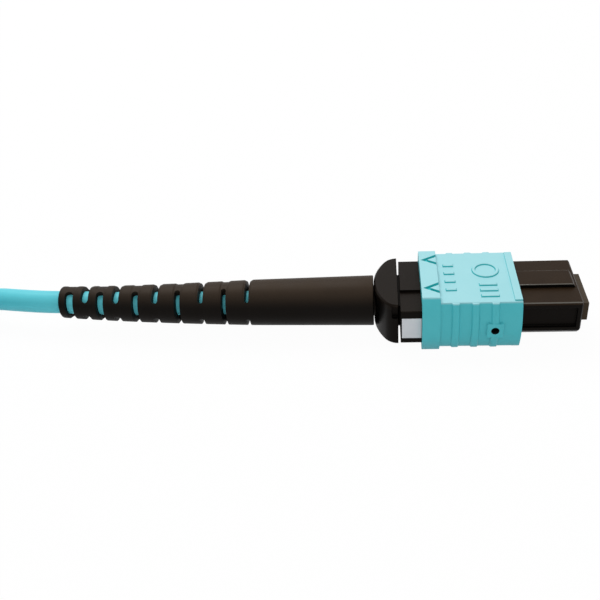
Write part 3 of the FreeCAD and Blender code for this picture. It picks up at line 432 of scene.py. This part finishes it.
def sleeve_marks(far):
    """Plain raised grip bars and a ring on the sleeve's flat top, where such a sleeve carries its marks.

    The ring is a bar's profile carried round a circle. A bar has twelve points, in three rows of four."""
    turn = np.linspace(0, 2 * math.pi, RING_POINTS, endpoint=False)[:, None]
    low, high = RING_INSIDE + MARK_SLOPE, RING_OUTSIDE - MARK_SLOPE
    radius = np.array([RING_INSIDE, RING_INSIDE, low, high, RING_OUTSIDE, RING_OUTSIDE])
    height = np.array([MARK_ROOT, SLEEVE_TOP, MARK_TOP, MARK_TOP, SLEEVE_TOP, MARK_ROOT])
    ring = np.stack([RING_X + radius * np.cos(turn), RING_Y + radius * np.sin(turn), height + 0 * turn], -1)
    points, faces = [], []
    for bar in GRIP_BARS + FRONT_BARS:
        start = 12 * len(points)
        points.append(raised_bar(*bar))
        faces += (loop_faces(3, 4) + start).tolist() + [[start + 8, start + 9, start + 10, start + 11]]
    faces += (loop_faces(RING_POINTS, len(radius), True) + 12 * len(points)).tolist()
    points = placed(np.concatenate(points + [ring.reshape(-1, 3)]), far)
    piece = new_piece("far_" * far + "sleeve_marks", points, faces, sleeve_plastic(far),
                      "far_sleeve" if far else "sleeve", ())
    round_edges(piece, 0.03, "ANGLE", 30)
    return piece


# ---- strain relief boot ----
BOOT_HEAD, BOOT_END = -5.82, -46.84
HEAD_ROUND, TIP_ROUND = 0.12, 0.3
OUTER_PLACES, OUTER_RADII = (5.88, 20.98, 46.84), (3.17, 2.94, 2.08)    # places as lengths behind the sleeve
RING_END, NECK_END = -13.18, -16.88               # the crimp ring's wide part and its neck
RING_BORE, NECK_BORE, JACKET_BORE = 2.44, 1.86, 1.53
SLOTS, FIRST_SLOT = 10, -21.74
SLOT_PITCHES = (2.97, 2.99, 3.04, 2.96, 2.65, 2.6, 2.14, 2.08, 2.14)
SLOT_PLACES = np.array([FIRST_SLOT - sum(SLOT_PITCHES[:k]) for k in range(SLOTS)])
SLOT_WIDTHS = np.linspace(0.56, 1.12, SLOTS)
INNER_DRAW = 0.1                                  # share by which a slot is narrower inside
BRIDGE_HALF, BRIDGE_ROLL = math.radians(23.5), math.radians(-10)
BRIDGE_SPREAD = 0.12                              # radians added to the half between the slots
LOW_BRIDGE_TURN = math.radians(33)                # lowest bridges, further round than opposite the top ones
BRIDGE_COLUMNS, GAP_COLUMNS = 10, 14
DIP_DEPTHS, DIP_STEADY = (0.05, 0.13), -30.0      # at the tip, and from DIP_STEADY forwards
DIP_FADE, DIP_SIDE = 0.32, math.radians(35)
BEND_START, BEND = -18.0, 0.85
JACKET_FRONT = -13.36


def lean(x, far):
    """Sideways lean of the near boot and jacket: none along the crimp, then as the cube of the distance."""
    return (not far) * BEND * (np.clip(BEND_START - x, 0, None) / (BEND_START - BOOT_TIP)) ** 3


def boot_radius(x):
    """Outer radius: a slight taper to the barrel's end and a stronger one to the tip, less quarter circles at
    head and tip."""
    radius = np.interp(-x, OUTER_PLACES, OUTER_RADII)
    head, tip = np.clip(BOOT_HEAD - x, 0, HEAD_ROUND), np.clip(x - BOOT_END, 0, TIP_ROUND)
    radius = radius - HEAD_ROUND + np.sqrt(HEAD_ROUND ** 2 - (HEAD_ROUND - head) ** 2)
    return radius - TIP_ROUND + np.sqrt(TIP_ROUND ** 2 - (TIP_ROUND - tip) ** 2)


def slot_dips(x, angle):
    """Depth of the shallow dips that the slots sit in, with smooth steps for sides, from full depth on the
    upper far side to none on the lower near side."""
    beyond = np.abs(x[:, None] - SLOT_PLACES) - SLOT_WIDTHS / 2
    share = np.clip(1 - beyond / DIP_FADE, 0, 1).max(1)[:, None]
    depth = np.interp(x, (BOOT_END, DIP_STEADY), DIP_DEPTHS)[:, None]
    return depth * share * share * (3 - 2 * share) * (0.5 + 0.5 * np.cos(angle + DIP_SIDE))


def round_rows(x, radius, angle, far):
    """Rows of points round the boot's leaning axis, at each row's x, with angles counted from the top."""
    return np.stack([x[:, None] + 0 * angle, lean(x, far)[:, None] + radius * np.sin(angle),
                     radius * np.cos(angle)], -1).reshape(-1, 3)


def boot_rows():
    """Places along the boot where its rings of points sit, and the slot that each one borders, or -1.

    Rows crowd at the rounded ends and shoulders; across each slot there are nine, spaced as a cosine."""
    rows = [(BOOT_HEAD - HEAD_ROUND * (1 - math.cos(a)), -1) for a in np.linspace(0, math.pi / 2, 6)]
    start = rows[-1][0]
    for k, (x, width) in enumerate(zip(SLOT_PLACES, SLOT_WIDTHS)):
        edge = width / 2
        rows += [(v, -1) for v in np.linspace(start, x + edge + DIP_FADE, 8 if k == 0 else 4)[1:]]
        rows += [(x + edge + v, -1) for v in DIP_FADE * np.array([0.8, 0.6, 0.4, 0.2])]
        rows += [(x + edge * math.cos(a), k) for a in np.linspace(0, math.pi, 9)]
        rows += [(x - edge - v, -1) for v in DIP_FADE * np.array([0.2, 0.4, 0.6, 0.8, 1.0])]
        start = x - edge - DIP_FADE
    rows += [(v, -1) for v in np.linspace(start, BOOT_END + TIP_ROUND, 3)[1:]]
    rows += [(BOOT_END + TIP_ROUND * (1 - math.sin(a)), -1) for a in np.linspace(0, math.pi / 2, 6)[1:]]
    return rows


def boot_angles(x, slot, outer):
    """Angle of every column in every row: four bridges, each followed by a gap, round the boot.

    A bridge is widest at its slot's edges, by half the slot's width, along half circles that round the slot's
    ends."""
    half = np.full((len(x), 2), BRIDGE_HALF + BRIDGE_SPREAD)
    for k in range(SLOTS):
        inside = np.flatnonzero(slot == k)
        reach = SLOT_WIDTHS[k] / 2
        swell = reach - np.sqrt(np.maximum(reach ** 2 - (x[inside] - SLOT_PLACES[k]) ** 2, 0))
        half[inside, k % 2] = BRIDGE_HALF + swell / outer[inside]
        half[inside[0] - 1, k % 2], half[inside[-1] + 1, k % 2] = half[inside[[0, -1]], k % 2]
    parts = []
    centres = np.array([0.0, 0.5, 1.0, 1.5, 2.0]) * math.pi + (0, 0, LOW_BRIDGE_TURN, 0, 0)
    for quarter in range(4):
        own, other = half[:, [1 - quarter % 2]], half[:, [quarter % 2]]
        centre = centres[quarter]
        parts.append(centre + own * np.linspace(-1, 1, BRIDGE_COLUMNS, endpoint=False))
        gap = centres[quarter + 1] - centre - other - own
        parts.append(centre + own + gap * np.linspace(0, 1, GAP_COLUMNS, endpoint=False))
    return np.hstack(parts) + BRIDGE_ROLL


def slotted_boot(far):
    """Boot as a tube of rows and columns: at each slot the cells between its two bridges are left out and
    walls join the outer and inner surface, which is a little narrower at the slots."""
    rows = boot_rows()
    x, slot = (np.array([r[k] for r in rows]) for k in (0, 1))
    outer = boot_radius(x)
    angle = boot_angles(x, slot, outer)
    inner_x = np.where(slot >= 0, x + INNER_DRAW * (SLOT_PLACES[slot] - x), x)
    bore = np.where(x > RING_END, RING_BORE, np.where(x > NECK_END, NECK_BORE, JACKET_BORE))
    shell = [round_rows(along, radius, -angle, far)
             for along, radius in ((x, outer[:, None] - slot_dips(x, angle)), (inner_x, bore[:, None]))]
    columns = angle.shape[1]
    kept = np.ones((len(rows) - 1, columns), bool)
    block = np.arange(columns) // (BRIDGE_COLUMNS + GAP_COLUMNS)
    bridge = np.arange(columns) % (BRIDGE_COLUMNS + GAP_COLUMNS) < BRIDGE_COLUMNS
    for k in range(SLOTS):
        inside = np.flatnonzero(slot == k)
        kept[inside[0]:inside[-1]] = bridge & (block % 2 == 1 - k % 2)
    count = len(rows) * columns
    index = np.arange(count).reshape(len(rows), columns)
    right = np.roll(index, -1, 1)
    skin = np.stack([index[:-1], right[:-1], right[1:], index[1:]], -1)[kept]
    faces = [skin, skin[:, ::-1] + count]
    above, under = np.pad(kept, ((1, 0), (0, 0))), np.pad(kept, ((0, 1), (0, 0)))
    for edge, order in ((under & ~above, 1), (above & ~under, -1)):
        wall = np.stack([index[edge], index[edge] + count, right[edge] + count, right[edge]], -1)
        faces.append(wall[:, ::order])
    left = np.roll(kept, 1, 1)
    for edge, order in ((kept & ~left, -1), (left & ~kept, 1)):
        top, low = index[:-1][edge], index[1:][edge]
        faces.append(np.stack([top, top + count, low + count, low], -1)[:, ::order])
    name, node = ("far_slotted_boot", "far_boot") if far else ("slotted_boot", "strain_relief_boot")
    piece = new_piece(name, placed(np.concatenate(shell), far), np.concatenate(faces), boot_rubber(far),
                      "connector", (node,), 50)
    bevelled(piece, 0.13, "ANGLE", 50).harden_normals = True
    return piece


def boot_jacket(far):
    """The jacket inside the boot: rings of points about the boot's axis, outside first, then the bore."""
    outside, inside, columns = 40, 30, 48
    x = np.concatenate([np.linspace(BOOT_TIP, JACKET_FRONT, outside),
                        np.linspace(JACKET_FRONT, BOOT_TIP + 1, inside)])
    radius = np.repeat([CABLE / 2, CABLE_BORE / 2], [outside, inside])[:, None]
    points = round_rows(x, radius, np.linspace(0, 2 * math.pi, columns, endpoint=False), far)
    faces = loop_faces(len(x), columns).tolist()
    faces += [list(range(columns - 1, -1, -1)), list(range(len(points) - columns, len(points)))]
    return new_piece("far_" * far + "boot_jacket", placed(points, far), faces, cable_vinyl(), "connector",
                     () if far else ("cable_end",))


# ---- cable ----
HANK_X, HANK_Y = -101.5, -9.8
HANK_RUN = 60.0
HANK_TURNS = ((12.0, -2.0), (9.0, -2.0), (9.0, 1.0), (12.0, 1.0), (12.0, 4.0), (9.0, 4.0))    # radius, height
FOLD_LENGTH = math.pi * 10.5                  # half round at the mean radius
STEP_45_SHARE, STEP_30_SHARE = 0.9255, 0.966  # cable's radius over its points', by the degrees between them


def hank_points():
    """Control points of the folded turns: each runs out along one side, folds, runs back and folds again.

    While it comes round the last fold, each turn moves to the next one's radius and height, later turns
    earlier, so that no two meet. Points on a fold lie further out than the cable, by its own rounding."""
    points = []
    half = HANK_RUN / 2
    for turn, ((r0, z0), (r1, z1)) in enumerate(zip(HANK_TURNS, HANK_TURNS[1:])):
        begin = 0.5 - 0.25 * turn
        for share in (0.15, 0.5, 0.85):
            points.append((HANK_X + half - share * HANK_RUN, HANK_Y + r0, z0))
        for degrees in (67.5, 22.5, -22.5, -67.5):
            a = math.radians(degrees)
            reach = r0 / STEP_45_SHARE
            points.append((HANK_X - half - reach * math.cos(a), HANK_Y + reach * math.sin(a), z0))
        for left in (52.0, 38.0, 24.0, 12.0, 3.5):
            moved = min(max((-left / FOLD_LENGTH - begin) / 0.5, 0.0), 1.0)
            points.append((HANK_X + half - left, HANK_Y - r0 - moved * (r1 - r0), z0 + moved * (z1 - z0)))
        for step in range(6):
            moved = min(max(((step + 0.5) / 6 - begin) / 0.5, 0.0), 1.0)
            reach = (r0 + moved * (r1 - r0)) / STEP_30_SHARE
            a = math.radians(-75 + 30 * step)
            points.append((HANK_X + half + reach * math.cos(a), HANK_Y + reach * math.sin(a),
                           z0 + moved * (z1 - z0)))
    return points


def cable_curve(pieces_on_it):
    """The whole cable from the near boot to the far one, as one smooth spline."""
    route = [(BOOT_TIP, BEND, 0.0), (-49.0, 0.95, 0.0), (-52.8, 1.5, -0.05), (-57.0, 2.45, -0.3),
             (-62.5, 3.2, -1.0), (-67.5, 2.6, -1.7), (-71.5, 2.2, -2.0)] + hank_points() + [
        (-77.3, -0.8, 4.0), (-86.2, -0.8, 9.45), tuple(FAR_TIP)]
    data = bpy.data.curves.new("cable", "CURVE")
    data.dimensions = "3D"
    spline = data.splines.new("NURBS")
    spline.points.add(len(route) - 1)
    for point, place in zip(spline.points, placed(route)):
        point.co = (*place, 1.0)
    spline.order_u = 3
    spline.use_endpoint_u = True
    spline.resolution_u = 8
    data.bevel_depth = CABLE / 2 * MM
    data.bevel_resolution = 6
    data.use_fill_caps = True
    data.materials.append(cable_vinyl())
    curve = shown("cable", data)
    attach(curve, "connector")
    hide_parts("cable_lead", "cable_hank", "cable_tail")
    placed([BOOT_TIP, 0, 0])


# ---- camera, floor and light ----
CAMERA_PLACE = (-4.900, -86.732, 60.413)
HEADING, TILT, ROLL = (math.radians(a) for a in (6.768, 34.566, -4.91))    # left of +Y, down, anticlockwise
LENS, SENSOR = 49.714, 36
LAMPS = (("key", (-0.1, 0.25, 0.45), 0.3, 1.85), ("fill", (0.3, -0.35, 0.3), 0.4, 0.15),
         ("edge", (-0.05, -0.285, 0.41), 0.08, 0.25))      # name, place and size in metres, power in watts
FLOOR_HALF, FLOOR_DROP = 3, 0.02 * MM             # metres; the drop keeps the floor off the part's underside
FLOOR_TONE, FLOOR_GLOW = (0.86, 0.86, 0.86, 1), 0.97
WHITE, WORLD_LIGHT = (1, 1, 1, 1), 0.45


def set_camera():
    """Camera above the near side, looking down along the connector."""
    data = bpy.data.cameras.new("camera")
    data.sensor_width = SENSOR
    data.lens = LENS
    data.clip_start = 0.005
    data.clip_end = 20
    camera = shown("camera", data)
    turn = Matrix.Rotation(HEADING, 4, "Z") @ Matrix.Rotation(math.pi / 2 - TILT, 4, "X")
    turn = turn @ Matrix.Rotation(ROLL, 4, "Z")
    camera.matrix_world = Matrix.Translation(Vector(placed(CAMERA_PLACE))) @ turn
    bpy.context.scene.camera = camera


def set_lamps():
    """Square area lamps, all turned to the origin."""
    for name, place, size, power in LAMPS:
        data = bpy.data.lights.new(name, "AREA")
        data.size = size
        data.energy = power
        lamp = shown(name, data)
        lamp.location = place
        lamp.rotation_euler = (-Vector(place)).to_track_quat("-Z", "Y").to_euler()


def seen_directly(tree):
    """1 for rays from the camera, off glossy surfaces and through clear ones, else 0."""
    path = tree.nodes.new("ShaderNodeLightPath")
    total = path.outputs["Is Camera Ray"]
    for name in ("Is Glossy Ray", "Is Transmission Ray"):
        node = tree.nodes.new("ShaderNodeMath")
        node.operation = "MAXIMUM"
        tree.links.new(total, node.inputs[0])
        tree.links.new(path.outputs[name], node.inputs[1])
        total = node.outputs[0]
    return total


def set_floor():
    """Floor that looks nearly white where it is seen directly, and keeps a little of the part's shadow."""
    mesh = bpy.data.meshes.new("floor")
    corners = [(a * FLOOR_HALF, b * FLOOR_HALF, 0) for a, b in ((-1, -1), (1, -1), (1, 1), (-1, 1))]
    mesh.from_pydata(corners, [], [(0, 1, 2, 3)])
    floor = shown("floor", mesh)
    floor.location.z = -FLOOR_DROP
    material = bpy.data.materials.new("floor")
    material.use_nodes = True
    tree = material.node_tree
    diffuse = tree.nodes["Principled BSDF"]
    diffuse.inputs["Base Color"].default_value = FLOOR_TONE
    diffuse.inputs["Roughness"].default_value = 1.0
    diffuse.inputs["Specular IOR Level"].default_value = 0.0
    glow = tree.nodes.new("ShaderNodeEmission")
    mix = tree.nodes.new("ShaderNodeMixShader")
    share = tree.nodes.new("ShaderNodeMath")
    share.operation = "MULTIPLY"
    share.inputs[1].default_value = FLOOR_GLOW
    tree.links.new(seen_directly(tree), share.inputs[0])
    tree.links.new(share.outputs[0], mix.inputs[0])
    tree.links.new(diffuse.outputs[0], mix.inputs[1])
    tree.links.new(glow.outputs[0], mix.inputs[2])
    tree.links.new(mix.outputs[0], tree.nodes["Material Output"].inputs[0])
    mesh.materials.append(material)


def set_world():
    """World that looks white where it is seen directly and lights the part softly from all sides."""
    world = bpy.data.worlds.new("world")
    bpy.context.scene.world = world
    world.use_nodes = True
    tree = world.node_tree
    back = tree.nodes["Background"]
    back.inputs[0].default_value = WHITE
    level = tree.nodes.new("ShaderNodeMapRange")
    tree.links.new(seen_directly(tree), level.inputs["Value"])
    level.inputs["To Min"].default_value = WORLD_LIGHT
    level.inputs["To Max"].default_value = 1.0
    tree.links.new(level.outputs[0], back.inputs[1])
    bpy.context.scene.view_settings.view_transform = "Standard"


# ---- the whole ----
def dress(node, material):
    """A CAD node that keeps its own surface gets its finish."""
    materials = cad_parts[node].data.materials
    materials.clear()
    materials.append(material)


def connector_outside(far):
    """The pieces of one connector that show: copies of five CAD nodes, the boot, the marks and the jacket."""
    prefix = "far_" * far
    sleeve_body, ferrule_body = ("far_sleeve", "connector") if far else ("sleeve", "ferrule")
    black = housing_plastic(far)
    copies = (("outer_sleeve", "sleeve_shell", sleeve_plastic(far), sleeve_body, "sleeve", 0.13),
              ("inner_housing", "plug_housing", black, "connector", "housing", 0.12),
              ("spring_push", "rear_push", black, "connector", "housing", 0.1),
              ("mt_ferrule", "ferrule_block", ferrule_resin(far), ferrule_body, "ferrule", 0.03),
              ("position_mark", "white_mark", mark_plastic(far), "connector", "mark", 0.03))
    made = [edged_copy(prefix + node, prefix + name, *rest) for node, name, *rest in copies]
    return made + [slotted_boot(far), sleeve_marks(far), boot_jacket(far)]


def near_inside():
    """The near connector's hidden pieces."""
    steel = spring_steel()
    dress("ferrule_rubber", boot_rubber(False))
    dress("pin_clamp", steel)
    dress("fibre_ribbon", glass_fibre())
    dress("aramid_yarn", yarn_fabric())
    dress("crimp_ring", crimp_metal())
    squeezed_spring("ferrule_spring", "main_spring", FERRULE_TRAVEL, steel)
    for side in ("left", "right"):
        squeezed_spring("coupling_spring_" + side, "return_spring_" + side, SLEEVE_TRAVEL,
                        steel)


def build():
    """The stage, then both connectors, and the cable with what it carries."""
    set_camera()
    set_floor()
    set_world()
    set_lamps()
    connector_outside(False)
    far_pieces = connector_outside(True)
    near_inside()
    dress("hank_tie", strap_fabric())
    cable_curve(["hank_tie"] + far_pieces)


build()
